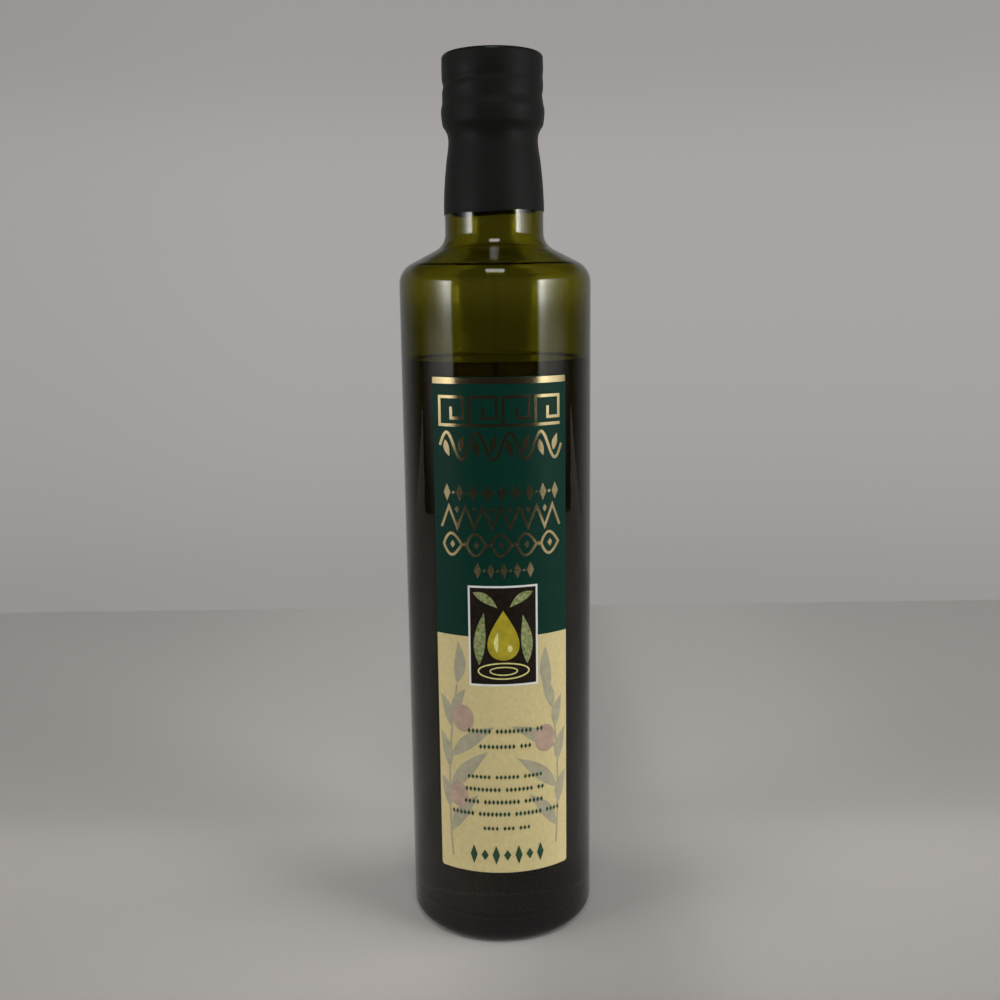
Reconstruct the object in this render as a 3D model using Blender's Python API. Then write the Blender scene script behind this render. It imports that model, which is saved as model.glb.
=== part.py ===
"""Slender green glass bottle of olive oil, with a paper label and a black sleeve over its closure.

The origin is the centre of the foot, +Z is up and the label faces -Y.
Azimuth 0 points along -Y, at the label, and grows towards +X.
"""

import math

import bmesh
import bpy

MM = 0.001

# Clearance between pieces that touch on the real bottle
GAP = 0.3 * MM

# Glass bottle, outside
BODY_RADIUS = 31.2 * MM
HEEL_RADIUS = 4.5 * MM
BEARING_WIDTH = 3.5 * MM
PUSH_UP = 2.5 * MM
PUSH_UP_BEND_RADIUS = 14.0 * MM
PUSH_UP_BEND_HEIGHT = 2.0 * MM
SHOULDER_HEIGHT = 217.25 * MM
SHOULDER_RADIUS = 7.5 * MM
SHOULDER_SLOPE = math.radians(27.2)
NECK_FILLET_RADIUS = 6.0 * MM
NECK_RADIUS = 15.7 * MM
MOUTH_HEIGHT = 285.5 * MM

# Glass bottle, inside
BODY_WALL = 2.5 * MM
NECK_WALL = 3.4 * MM
FLOOR_HEIGHT = 6.5 * MM
FLOOR_RISE = 1.5 * MM
FLOOR_CORNER_RADIUS = 5.0 * MM
MOUTH_BORE_RADIUS = 9.25 * MM
MOUTH_TAPER_START = 246.0 * MM

# Oil
OIL_LEVEL = 192.7 * MM

# Black shrink sleeve, with the shut closure that it covers
SLEEVE_THICKNESS = 0.2 * MM
SLEEVE_TOP = 288.4 * MM
SLEEVE_TOP_EDGE = 1.2 * MM
SLEEVE_FOOT = 239.6 * MM
SLEEVE_FOOT_TILT = 0.55 * MM
SLEEVE_FOOT_RIPPLE = 0.25 * MM
SLEEVE_FOOT_WAVES = 3
SLEEVE_FOOT_PHASE = math.radians(-63.0)
WAIST_HEIGHT = 262.1 * MM
BEAD_HEIGHT = 271.0 * MM
# Height and outer radius where the sleeve's outline changes, from the lower edge to the top edge
SLEEVE_OUTLINE = (
    (240.0 * MM, 16.20 * MM),
    (245.5 * MM, 16.05 * MM),
    (251.3 * MM, 15.63 * MM),
    (256.2 * MM, 15.08 * MM),
    (259.9 * MM, 14.53 * MM),
    (WAIST_HEIGHT, 14.38 * MM),
    (263.9 * MM, 14.60 * MM),
    (265.3 * MM, 15.20 * MM),
    (267.0 * MM, 16.15 * MM),
    (BEAD_HEIGHT, 16.55 * MM),
    (274.2 * MM, 16.06 * MM),
    (279.0 * MM, 16.12 * MM),
    (284.5 * MM, 16.17 * MM),
    (SLEEVE_TOP - SLEEVE_TOP_EDGE, 16.08 * MM),
)

# Groove that the closure's thread presses into the sleeve
THREAD_PITCH = 5.7 * MM
THREAD_HEIGHT_AT_FRONT = 280.2 * MM
THREAD_DEPTH = 0.42 * MM
THREAD_HALF_WIDTH = 1.25 * MM
THREAD_START = math.radians(120.0)
THREAD_END = math.radians(-370.0)
THREAD_RUN_OUT = 0.7

# Paper label
LABEL_FOOT = 26.1 * MM
LABEL_TOP = 189.1 * MM
LABEL_LEFT = math.radians(-39.7)
LABEL_RIGHT = math.radians(43.4)
LABEL_THICKNESS = 0.2 * MM
LABEL_CORNER_RADIUS = 1.0 * MM

# Fineness of the round shapes
GLASS_SEGMENTS = 56
OIL_SEGMENTS = 48
SLEEVE_SEGMENTS = 56
SLEEVE_RING_SPACING = 1.15 * MM
LABEL_STRIPS = 22
ARC_STEPS = 6
CORNER_STEPS = 3
SHARP_EDGE = math.radians(40.0)
WELD_DISTANCE = 1e-6


def clear_scene():
    """Remove whatever the scene holds."""
    for item in list(bpy.data.objects):
        bpy.data.objects.remove(item, do_unlink=True)


def make_material(name, colour, roughness, metallic=0.0, transmission=0.0):
    """Return a Principled material with one plain finish."""
    material = bpy.data.materials.new(name)
    material.use_nodes = True
    shader = material.node_tree.nodes["Principled BSDF"]
    shader.inputs["Base Color"].default_value = (*colour, 1.0)
    shader.inputs["Roughness"].default_value = roughness
    shader.inputs["Metallic"].default_value = metallic
    shader.inputs["Transmission Weight"].default_value = transmission
    material.diffuse_color = (*colour, 1.0)
    return material


def add_object(name, mesh, material):
    """Put a finished mesh in the scene, smooth where it is round."""
    mesh.materials.append(material)
    mesh.shade_smooth()
    mesh.set_sharp_from_angle(angle=SHARP_EDGE)
    piece = bpy.data.objects.new(name, mesh)
    bpy.context.scene.collection.objects.link(piece)
    return piece


def arc(centre, radius, start, end, steps=ARC_STEPS):
    """Return (radius, height) points along an arc in the profile plane, both ends included."""
    turn = [start + (end - start) * step / steps for step in range(steps + 1)]
    return [(centre[0] + radius * math.cos(a), centre[1] + radius * math.sin(a)) for a in turn]


def turned_mesh(name, profile, segments):
    """Turn a profile of (radius, height) points, from axis to axis, into a closed round body."""
    shape = bmesh.new()
    corners = [shape.verts.new((0.0, -radius, height)) for radius, height in profile]
    edges = [shape.edges.new(pair) for pair in zip(corners, corners[1:])]
    bmesh.ops.spin(
        shape,
        geom=corners + edges,
        cent=(0.0, 0.0, 0.0),
        axis=(0.0, 0.0, 1.0),
        angle=math.tau,
        steps=segments,
        use_merge=True,
    )
    bmesh.ops.remove_doubles(shape, verts=shape.verts[:], dist=WELD_DISTANCE)
    bmesh.ops.recalc_face_normals(shape, faces=shape.faces[:])
    mesh = bpy.data.meshes.new(name)
    shape.to_mesh(mesh)
    shape.free()
    return mesh


def smooth_outline(knots, height):
    """Return the radius at a height, on a smooth curve through the knots with no overshoot."""
    heights = [knot[0] for knot in knots]
    radii = [knot[1] for knot in knots]
    if height <= heights[0]:
        return radii[0]
    if height >= heights[-1]:
        return radii[-1]
    spans = [b - a for a, b in zip(heights, heights[1:])]
    slopes = [(b - a) / span for a, b, span in zip(radii, radii[1:], spans)]
    tangents = [0.0]
    for before, after in zip(slopes, slopes[1:]):
        same_way = before * after > 0.0
        tangents.append(2.0 * before * after / (before + after) if same_way else 0.0)
    tangents.append(0.0)
    low = max(index for index, start in enumerate(heights[:-1]) if start <= height)
    span = spans[low]
    t = (height - heights[low]) / span
    rise = t * t * (3.0 - 2.0 * t)
    start_pull = t * (1.0 - t) ** 2 * span
    end_pull = -t * t * (1.0 - t) * span
    blend = radii[low] + (radii[low + 1] - radii[low]) * rise
    return blend + tangents[low] * start_pull + tangents[low + 1] * end_pull


def shoulder_outline(offset, fillet_radius, neck_radius):
    """Return the points from the body's wall over the shoulder to the neck.

    The offset moves the outline inwards, for the inside of the glass.
    """
    centre = (BODY_RADIUS - SHOULDER_RADIUS, SHOULDER_HEIGHT)
    across = math.pi / 2.0 - SHOULDER_SLOPE
    points = arc(centre, SHOULDER_RADIUS - offset, 0.0, across)
    slope_radius, slope_height = points[-1]
    fillet_centre_radius = neck_radius + fillet_radius
    foot_radius = fillet_centre_radius - fillet_radius * math.cos(across)
    foot_height = slope_height + (slope_radius - foot_radius) * math.tan(SHOULDER_SLOPE)
    fillet_centre = (fillet_centre_radius, foot_height + fillet_radius * math.sin(across))
    return points + arc(fillet_centre, fillet_radius, math.pi + across, math.pi)


def glass_under_sleeve(height):
    """Return the glass's outer radius below the waist, where the sleeve hugs it."""
    hugged = smooth_outline(SLEEVE_OUTLINE, height) - SLEEVE_THICKNESS - GAP
    return min(NECK_RADIUS, hugged)


def bottle_profile():
    """Return the glass's profile, up the outside and down the inside."""
    outside = [
        (0.0, PUSH_UP),
        (PUSH_UP_BEND_RADIUS, PUSH_UP_BEND_HEIGHT),
        (BODY_RADIUS - HEEL_RADIUS - BEARING_WIDTH, 0.0),
    ]
    outside += arc((BODY_RADIUS - HEEL_RADIUS, HEEL_RADIUS), HEEL_RADIUS, -math.pi / 2.0, 0.0)
    outside += shoulder_outline(0.0, NECK_FILLET_RADIUS, NECK_RADIUS)
    for height, _ in SLEEVE_OUTLINE:
        if height <= WAIST_HEIGHT:
            outside.append((glass_under_sleeve(height), height))
    outside.append((glass_under_sleeve(WAIST_HEIGHT), MOUTH_HEIGHT))
    inside = [(MOUTH_BORE_RADIUS, MOUTH_HEIGHT), (MOUTH_BORE_RADIUS, WAIST_HEIGHT)]
    inside.append((NECK_RADIUS - NECK_WALL, MOUTH_TAPER_START))
    inner_fillet = NECK_FILLET_RADIUS + NECK_WALL
    inside += reversed(shoulder_outline(BODY_WALL, inner_fillet, NECK_RADIUS - NECK_WALL))
    return outside + inside + list(reversed(floor_outline(0.0)))


def floor_outline(clearance):
    """Return the inside floor of the glass, from the axis to the foot of the wall."""
    wall_radius = BODY_RADIUS - BODY_WALL
    corner_radius = FLOOR_CORNER_RADIUS - clearance
    centre = (wall_radius - FLOOR_CORNER_RADIUS, FLOOR_HEIGHT + FLOOR_CORNER_RADIUS)
    points = [(0.0, FLOOR_HEIGHT + FLOOR_RISE + clearance)]
    return points + arc(centre, corner_radius, -math.pi / 2.0, 0.0)


def build_bottle():
    """Glass bottle, open at the mouth under the closure."""
    mesh = turned_mesh("bottle", bottle_profile(), GLASS_SEGMENTS)
    glass = make_material("dark green glass", (0.05, 0.075, 0.01), 0.04, transmission=1.0)
    return add_object("bottle", mesh, glass)


def build_oil():
    """Oil up to its level, clear of the glass round it."""
    profile = floor_outline(GAP)
    profile.append((BODY_RADIUS - BODY_WALL - GAP, OIL_LEVEL))
    profile.append((0.0, OIL_LEVEL))
    mesh = turned_mesh("oil", profile, OIL_SEGMENTS)
    oil = make_material("olive oil", (0.30, 0.26, 0.03), 0.02, transmission=0.8)
    return add_object("oil", mesh, oil)


def thread_groove(azimuth, height):
    """Return how deep the thread presses in the sleeve at a point, over all its turns."""
    depth = 0.0
    turn = math.ceil((THREAD_END - azimuth) / math.tau)
    while azimuth + turn * math.tau <= THREAD_START:
        along = azimuth + turn * math.tau
        centre = THREAD_HEIGHT_AT_FRONT + THREAD_PITCH * along / math.tau
        share = (THREAD_START - along) / (THREAD_START - THREAD_END)
        strength = math.sin(math.pi * share) ** THREAD_RUN_OUT if 0.0 < share < 1.0 else 0.0
        away = (height - centre) / THREAD_HALF_WIDTH
        depth = max(depth, THREAD_DEPTH * strength * math.exp(-away * away))
        turn += 1
    return depth


def sleeve_foot(azimuth):
    """Return the height of the sleeve's cut edge, which is a little uneven."""
    ripple = SLEEVE_FOOT_RIPPLE * math.sin(SLEEVE_FOOT_WAVES * azimuth + SLEEVE_FOOT_PHASE)
    return SLEEVE_FOOT + SLEEVE_FOOT_TILT * math.sin(azimuth) + ripple


def sleeve_profile():
    """Return the sleeve's profile: over the top, down its outside and up its bore."""
    edge_centre = (SLEEVE_OUTLINE[-1][1] - SLEEVE_TOP_EDGE, SLEEVE_TOP - SLEEVE_TOP_EDGE)
    profile = [(0.0, SLEEVE_TOP)]
    profile += arc(edge_centre, SLEEVE_TOP_EDGE, math.pi / 2.0, 0.0, CORNER_STEPS)
    drop = edge_centre[1] - SLEEVE_FOOT
    rings = round(drop / SLEEVE_RING_SPACING)
    for ring in range(1, rings + 1):
        height = edge_centre[1] - drop * ring / rings
        profile.append((smooth_outline(SLEEVE_OUTLINE, height), height))
    bore_heights = [SLEEVE_FOOT]
    bore_heights += [height for height, _ in SLEEVE_OUTLINE if height <= WAIST_HEIGHT]
    for height in bore_heights:
        profile.append((smooth_outline(SLEEVE_OUTLINE, height) - SLEEVE_THICKNESS, height))
    bore_radius = smooth_outline(SLEEVE_OUTLINE, WAIST_HEIGHT) - SLEEVE_THICKNESS
    bore_top = MOUTH_HEIGHT + GAP
    return profile + [(bore_radius, bore_top), (0.0, bore_top)]


def build_capsule():
    """Black sleeve shrunk over the shut closure, with the thread showing through."""
    mesh = turned_mesh("capsule", sleeve_profile(), SLEEVE_SEGMENTS)
    waist_radius = smooth_outline(SLEEVE_OUTLINE, WAIST_HEIGHT)
    for corner in mesh.vertices:
        radius = math.hypot(corner.co.x, corner.co.y)
        azimuth = math.atan2(corner.co.x, -corner.co.y)
        outer = radius > waist_radius
        if outer and BEAD_HEIGHT < corner.co.z < SLEEVE_TOP - SLEEVE_TOP_EDGE:
            keep = 1.0 - thread_groove(azimuth, corner.co.z) / radius
            corner.co.x *= keep
            corner.co.y *= keep
        if abs(corner.co.z - SLEEVE_FOOT) < WELD_DISTANCE:
            corner.co.z = sleeve_foot(azimuth)
    return add_object("capsule", mesh, make_material("black sleeve film", (0.012, 0.012, 0.011), 0.38))


def label_outline(width, height):
    """Return the flat label's outline, a rectangle with small round corners."""
    reach = (width / 2.0 - LABEL_CORNER_RADIUS, height / 2.0 - LABEL_CORNER_RADIUS)
    points = []
    for corner, (side, end) in enumerate(((1, 1), (-1, 1), (-1, -1), (1, -1))):
        start = corner * math.pi / 2.0
        centre = (side * reach[0], end * reach[1])
        points += arc(centre, LABEL_CORNER_RADIUS, start, start + math.pi / 2.0, CORNER_STEPS)
    return points


def build_label():
    """Paper label, one curved plate on the front of the glass."""
    radius = BODY_RADIUS + GAP
    width = radius * (LABEL_RIGHT - LABEL_LEFT)
    middle = (LABEL_RIGHT + LABEL_LEFT) / 2.0
    shape = bmesh.new()
    corners = [shape.verts.new((x, 0.0, z)) for x, z in label_outline(width, LABEL_TOP - LABEL_FOOT)]
    shape.faces.new(corners)
    for strip in range(1, LABEL_STRIPS):
        bmesh.ops.bisect_plane(
            shape,
            geom=shape.verts[:] + shape.edges[:] + shape.faces[:],
            plane_co=(width * (strip / LABEL_STRIPS - 0.5), 0.0, 0.0),
            plane_no=(1.0, 0.0, 0.0),
        )
    sheet = bmesh.ops.extrude_face_region(shape, geom=shape.faces[:])
    for corner in sheet["geom"]:
        if isinstance(corner, bmesh.types.BMVert):
            corner.co.y -= LABEL_THICKNESS
    for corner in shape.verts:
        azimuth = middle + corner.co.x / radius
        reach = radius - corner.co.y
        height = corner.co.z + (LABEL_TOP + LABEL_FOOT) / 2.0
        corner.co = (reach * math.sin(azimuth), -reach * math.cos(azimuth), height)
    bmesh.ops.recalc_face_normals(shape, faces=shape.faces[:])
    mesh = bpy.data.meshes.new("label")
    shape.to_mesh(mesh)
    shape.free()
    return add_object("label", mesh, make_material("printed label paper", (0.02, 0.06, 0.045), 0.45))


def main():
    """Build the bottle's four pieces."""
    clear_scene()
    build_bottle()
    build_oil()
    build_capsule()
    build_label()


main()
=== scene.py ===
"""Looks of a slender green glass bottle of olive oil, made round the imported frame.

The origin is the centre of the foot, +Z is up and the label faces -Y.
Azimuth 0 points along -Y, at the label, and grows towards +X.
The print on the label is laid out flat in millimetres, as (arc length from the front, height).
"""

import math
import random

import bmesh
import bpy
from bpy.props import FloatProperty, FloatVectorProperty, PointerProperty
from mathutils import Matrix, Vector, noise


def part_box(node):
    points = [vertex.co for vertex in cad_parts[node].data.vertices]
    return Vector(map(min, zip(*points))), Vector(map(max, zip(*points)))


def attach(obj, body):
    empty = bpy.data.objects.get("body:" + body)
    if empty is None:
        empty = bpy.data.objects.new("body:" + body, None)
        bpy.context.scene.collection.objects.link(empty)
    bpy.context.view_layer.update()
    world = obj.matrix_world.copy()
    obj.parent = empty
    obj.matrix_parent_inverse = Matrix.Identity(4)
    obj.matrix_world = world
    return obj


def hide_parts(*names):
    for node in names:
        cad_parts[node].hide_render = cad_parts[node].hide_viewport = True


bl_info = {
    "name": "Olive oil bottle",
    "version": (1, 0, 0),
    "blender": (4, 5, 0),
    "location": "3D View > Sidebar > Bottle",
    "description": "Makes a printed olive oil bottle and the studio round it",
    "category": "Object",
}

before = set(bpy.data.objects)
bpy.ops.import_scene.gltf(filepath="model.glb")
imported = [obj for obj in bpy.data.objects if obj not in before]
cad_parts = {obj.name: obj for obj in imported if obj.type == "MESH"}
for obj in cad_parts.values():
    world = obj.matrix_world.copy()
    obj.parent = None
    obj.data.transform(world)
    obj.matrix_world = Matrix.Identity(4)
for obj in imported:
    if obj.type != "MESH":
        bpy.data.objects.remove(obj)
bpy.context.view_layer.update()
MM = 0.001

BOTTLE_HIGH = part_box("bottle")[1]
OIL_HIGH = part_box("oil")[1]
SLEEVE_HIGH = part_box("capsule")[1]
LABEL_LOW, LABEL_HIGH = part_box("label")

# Measures of the sleeve and of the gap between it and the glass
WAIST_HEIGHT = 262.1 * MM
BEAD_HEIGHT = 271.0 * MM
SLEEVE_TOP_EDGE = 1.2 * MM
SLEEVE_TOP_DIP = 0.25 * MM
SLEEVE_TOP_STEP = 0.06 * MM
FILM_GAP = 0.1 * MM

# Height and outer radius where the sleeve's outline changes, from the lower edge to the top edge
SLEEVE_OUTLINE = (
    (240.0 * MM, 16.20 * MM),
    (245.5 * MM, 16.05 * MM),
    (251.3 * MM, 15.63 * MM),
    (256.2 * MM, 15.08 * MM),
    (259.9 * MM, 14.53 * MM),
    (WAIST_HEIGHT, 14.38 * MM),
    (263.9 * MM, 14.60 * MM),
    (265.3 * MM, 15.20 * MM),
    (267.0 * MM, 16.15 * MM),
    (BEAD_HEIGHT, 16.55 * MM),
    (274.2 * MM, 16.06 * MM),
    (279.0 * MM, 16.12 * MM),
    (284.5 * MM, 16.17 * MM),
    (SLEEVE_HIGH.z - SLEEVE_TOP_EDGE, 16.08 * MM),
)

# Turns of the closure's thread under the sleeve
THREAD_START = math.radians(120.0)
THREAD_END = math.radians(-370.0)
THREAD_HEIGHT_AT_FRONT = 280.2 * MM
THREAD_HALF_WIDTH = 1.25 * MM
THREAD_RUN_OUT = 0.7

# Fineness of the meshes
ROUND_SEGMENTS = 192
SLEEVE_SEGMENTS = 256
SLEEVE_RING = 0.35 * MM
WALL_RING = 5.0 * MM
ARC_STEPS = 14
PRINT_STRIP = 0.6
SHARP_EDGE = math.radians(40.0)
WELD_DISTANCE = 1e-6

# Layers of the label, counted from the glass
PAPER_THICKNESS = 0.14 * MM
GLUE_GAP = 0.02 * MM
INK_LAYER = 0.02 * MM
WRAP_RADIUS = BOTTLE_HIGH.x + GLUE_GAP + PAPER_THICKNESS

# Share of a soft panel's light by height in metres: its lit cloth, then the dim glow that it gives low down
PANEL_RISE = ((0.0, 0.0), (0.12, 0.03), (0.182, 0.10), (0.213, 0.20), (0.238, 0.62), (0.28, 1.0), (0.42, 1.0))
PANEL_HEIGHT = PANEL_RISE[-1][0]
LOW_GLOW = ((0.0, 0.01), (0.06, 0.025), (0.11, 0.045), (0.182, 0.05), (0.213, 0.02), (0.25, 0.0), (0.42, 0.0))

# Share of that light from front to back, in metres from the bottle's axis: low glow, left panel, right panel
LOW_GLOW_FADE = (
    (-0.70, 0.0), (-0.66, 0.2), (-0.60, 1.0), (-0.30, 1.0), (-0.12, 0.7), (0.0, 0.25), (0.12, 0.0),
)
LEFT_FADE = (
    (-0.69, 0.0), (-0.65, 0.05), (-0.61, 0.4), (-0.55, 0.74), (-0.45, 0.7), (-0.37, 0.42), (-0.29, 0.22),
    (-0.22, 0.1), (-0.14, 0.04), (0.12, 0.0),
)
RIGHT_FADE = (
    (-0.70, 0.0), (-0.645, 0.3), (-0.59, 1.0), (-0.54, 1.0), (-0.47, 0.75), (-0.41, 0.5), (-0.35, 0.33),
    (-0.30, 0.25), (-0.24, 0.17), (-0.16, 0.09), (0.12, 0.0),
)

# Half of the table's width, in metres
TABLE_REACH = 3.0

# Painted light and shade on the table: share of its colour from left to right and from front to back, in
# metres from the bottle's axis. The colour is painted lighter near the bottle, with a painted shadow just
# right of it and painted shade to the sides and towards the front
TABLE_ACROSS = (
    (-0.5, 0.78), (-0.24, 0.83), (-0.1, 0.98), (-0.05, 1.0), (0.0, 0.86), (0.035, 0.76), (0.06, 0.83),
    (0.1, 0.95), (0.24, 0.82), (0.5, 0.77),
)
TABLE_ALONG = (
    (-0.45, 0.54), (-0.2, 0.64), (-0.09, 0.70), (-0.05, 0.81), (0.0, 0.94), (0.036, 0.99), (0.08, 0.87),
    (0.2, 0.82), (0.4, 0.84),
)

# Brightness of the backdrop by how far a ray points up, from -1 to 1
BACKDROP_RISE = (
    (-1.0, 0.80), (-0.26, 0.81), (-0.176, 0.89), (-0.092, 0.955), (0.07, 0.99), (0.204, 0.86), (1.0, 0.8),
)

# Share of the backdrop that shows through the glass, by how far a ray points to the right, and its gain
THROUGH_GLASS = (
    (-0.2, 0.42), (-0.08, 0.42), (-0.056, 0.38), (-0.04, 0.17), (0.0, 0.15), (0.04, 0.17), (0.056, 0.40),
    (0.08, 0.54), (0.2, 0.54),
)
THROUGH_GLASS_GAIN = 4.0

# Share of the room's light that mirrors show, by how far a ray points up
DARK_CEILING = ((-1.0, 1.0), (0.3, 1.0), (0.55, 0.12), (1.0, 0.04))

# Lamps: where each hangs, where it points and how wide it is, in metres
SOFT_BOX_PLACE = (0.0, -1.0, 1.95)
SOFT_BOX_TARGET = (0.0, 0.0, 0.2)
SOFT_BOX_SIZE = 0.60
FILL_ASIDE = 2.0
FILL_FRONT = -0.5
FILL_HEIGHT = 1.2
FILL_TARGET = (0.0, 0.0, 0.15)
FILL_SIZE = 2.4
FILL_SHARES = {"left_fill": (-1, 0.9), "right_fill": (1, 1.3)}

# Camera that was fitted to the photograph, its lens and sensor in millimetres
CAMERA_YAW = math.radians(0.1125)
CAMERA_PITCH = math.radians(10.199)
CAMERA_ROLL = math.radians(-0.716)
CAMERA_LENS = 41.83
CAMERA_SENSOR = 36.0


def linear(code):
    """Turn an sRGB hex colour into linear red, green and blue."""
    channels = [int(code[start:start + 2], 16) / 255.0 for start in (1, 3, 5)]
    return tuple(c / 12.92 if c <= 0.04045 else ((c + 0.055) / 1.055) ** 2.4 for c in channels)


def distance(name, description, size):
    """Return a length property, its default in metres."""
    return FloatProperty(
        name=name, description=description, default=size, min=0.0, unit="LENGTH", precision=5
    )


def angle(name, description, degrees):
    """Return an angle property, its default in degrees."""
    return FloatProperty(name=name, description=description, default=math.radians(degrees), subtype="ANGLE")


def colour(name, description, code):
    """Return a colour property, its default an sRGB hex colour."""
    return FloatVectorProperty(
        name=name, description=description, default=linear(code), min=0.0, max=1.0, size=3, subtype="COLOR"
    )


def amount(name, description, value):
    """Return a plain number."""
    return FloatProperty(name=name, description=description, default=value, min=0.0)


class GlassSettings(bpy.types.PropertyGroup):
    """Sizes of the glass and of the oil in it."""

    body_radius: distance("Body radius", "Outer radius of the body", BOTTLE_HIGH.x)
    mouth_height: distance("Mouth height", "Height of the open mouth under the closure", BOTTLE_HIGH.z)
    heel_radius: distance("Heel radius", "Rounding between wall and foot", 4.5 * MM)
    bearing_width: distance("Bearing width", "Width of the ring that the bottle stands on", 3.5 * MM)
    push_up: distance("Push-up", "Height of the hollow in the foot", 2.5 * MM)
    shoulder_height: distance("Shoulder height", "Height where the straight wall ends", 217.25 * MM)
    shoulder_radius: distance("Shoulder radius", "Rounding at the top of the wall", 7.5 * MM)
    shoulder_slope: angle("Shoulder slope", "Slope of the shoulder from level", 27.2)
    neck_radius: distance("Neck radius", "Outer radius of the neck", 15.95 * MM)
    neck_fillet: distance("Neck fillet", "Rounding between shoulder and neck", 6.0 * MM)
    body_wall: distance("Body wall", "Thickness of the body's wall", 2.5 * MM)
    shoulder_wall: distance("Shoulder wall", "Thickness of the wall where it blew out most", 1.85 * MM)
    thinning: distance("Thinning", "Height over which the wall thins below the shoulder", 16.0 * MM)
    neck_wall: distance("Neck wall", "Thickness of the neck's wall", 2.1 * MM)
    bore_radius: distance("Bore radius", "Inner radius of the mouth", 9.25 * MM)
    bore_taper: distance("Bore taper", "Height where the neck's bore starts to narrow", 246.0 * MM)
    floor_height: distance("Floor height", "Height of the floor inside", 6.5 * MM)
    floor_rise: distance("Floor rise", "How much the floor rises to its middle", 1.5 * MM)
    floor_corner: distance("Floor corner", "Rounding inside the foot", 5.0 * MM)
    wall_unevenness: distance("Wall unevenness", "How uneven the inside of the blown wall is", 0.10 * MM)
    glass_tint: colour("Glass tint", "Light that a thin layer of the glass lets through", "#c6c400")
    glass_density: amount("Glass density", "How strongly the glass takes up light, per metre", 1180.0)
    oil_level: distance("Oil level", "Height of the oil's surface", OIL_HIGH.z)
    oil_overlap: distance("Oil overlap", "How far the oil's mesh reaches into the wall", 0.25 * MM)
    meniscus: distance("Meniscus", "How far the oil climbs up the glass", 0.7 * MM)
    oil_tint: colour("Oil tint", "Light that a thin layer of the oil lets through", "#e6e08c")
    oil_density: amount("Oil density", "How strongly the oil takes up light, per metre", 220.0)


class SleeveSettings(bpy.types.PropertyGroup):
    """Sizes and colour of the shrink sleeve."""

    top: distance("Top", "Height of the sleeve's top", SLEEVE_HIGH.z)
    foot: distance("Foot", "Height of the cut lower edge", 239.6 * MM)
    foot_tilt: distance("Foot tilt", "How far the lower edge runs out of level", 0.55 * MM)
    foot_ripple: distance("Foot ripple", "Height of the waves in the lower edge", 0.25 * MM)
    foot_waves: amount("Foot waves", "Waves round the lower edge", 3.0)
    foot_phase: angle("Foot phase", "Turn of the waves round the bottle", -63.0)
    thickness: distance("Thickness", "Thickness of the film at its edge", 0.12 * MM)
    thread_pitch: distance("Thread pitch", "Rise of the thread in one turn", 5.7 * MM)
    thread_depth: distance("Thread depth", "Depth of the groove in the film", 0.42 * MM)
    crease_depth: distance("Crease depth", "Depth of the film's small dents and creases", 0.06 * MM)
    film: colour("Film", "Colour of the film", "#151514")


class LabelSettings(bpy.types.PropertyGroup):
    """Sizes and colours of the label and its print."""

    foot: distance("Foot", "Height of the lower edge", LABEL_LOW.z)
    top: distance("Top", "Height of the upper edge", LABEL_HIGH.z)
    left: angle("Left edge", "Azimuth of the left edge", -39.7)
    right: angle("Right edge", "Azimuth of the right edge", 43.4)
    corner: distance("Corner", "Rounding of the corners", 1.0 * MM)
    field_change: distance("Field change", "Height where the green field meets the cream one", 106.65 * MM)
    stroke: distance("Stroke", "Width of the gold lines", 0.95 * MM)
    frame_border: distance("Picture border", "Width of the picture's white border", 0.65 * MM)
    green: colour("Green field", "Upper field of the print", "#083026")
    cream: colour("Cream field", "Lower field of the print", "#cfc08c")
    gold: colour("Gold foil", "Hot stamped foil", "#f2dca6")
    white: colour("White border", "Border of the picture", "#dfe0dc")
    ground: colour("Picture ground", "Dark ground of the picture", "#1d1711")
    drop: colour("Drop", "Oil drop in the picture", "#a89a2c")
    drop_light: colour("Drop light", "Light part of the drop", "#dcd58a")
    leaf: colour("Leaf", "Leaves in the picture", "#56682c")
    leaf_light: colour("Leaf light", "Light veins of the leaves", "#a9ad7c")
    faded_leaf: colour("Faded leaf", "Leaves printed pale on the cream field", "#a8a289")
    faded_berry: colour("Faded berry", "Berries printed pale on the cream field", "#b39a88")
    ink: colour("Ink", "Small marks on the cream field", "#2f4a35")


class StudioSettings(bpy.types.PropertyGroup):
    """Table, backdrop, lamps and camera."""

    table_edge: distance("Table edge", "Distance from the bottle to the table's rear edge", 0.392)
    table_colour: colour("Table", "Colour of the pale table", "#c8c3bf")
    backdrop: colour("Backdrop", "Brightness and colour of the backdrop", "#a9a5a4")
    table_front: distance("Table front", "Distance from the bottle to the table's front edge", 0.45)
    dark_room: amount("Dark room", "Light that comes from the room behind the camera", 0.013)
    lit_room: amount("Lit room", "Light that comes from the backdrop's side of the room", 0.38)
    panel_distance: distance("Panel distance", "Distance from the bottle to each soft panel", 0.8)
    panel_light: amount("Panel light", "Brightness of the two soft panels", 15.0)
    soft_box: amount("Soft box", "Power of the soft box over the camera, in watts", 9.0)
    side_fill: amount("Side fill", "Power of the lamp on each side, in watts", 38.0)
    camera_height: distance("Camera height", "Height of the camera", 214.88 * MM)
    camera_distance: distance("Camera distance", "Distance from the camera to the bottle's axis", 386.65 * MM)


def arc(centre, radius, start, end, steps=ARC_STEPS):
    """Return points along an arc in a flat plane, both ends included."""
    turn = [start + (end - start) * step / steps for step in range(steps + 1)]
    return [(centre[0] + radius * math.cos(a), centre[1] + radius * math.sin(a)) for a in turn]


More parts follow.
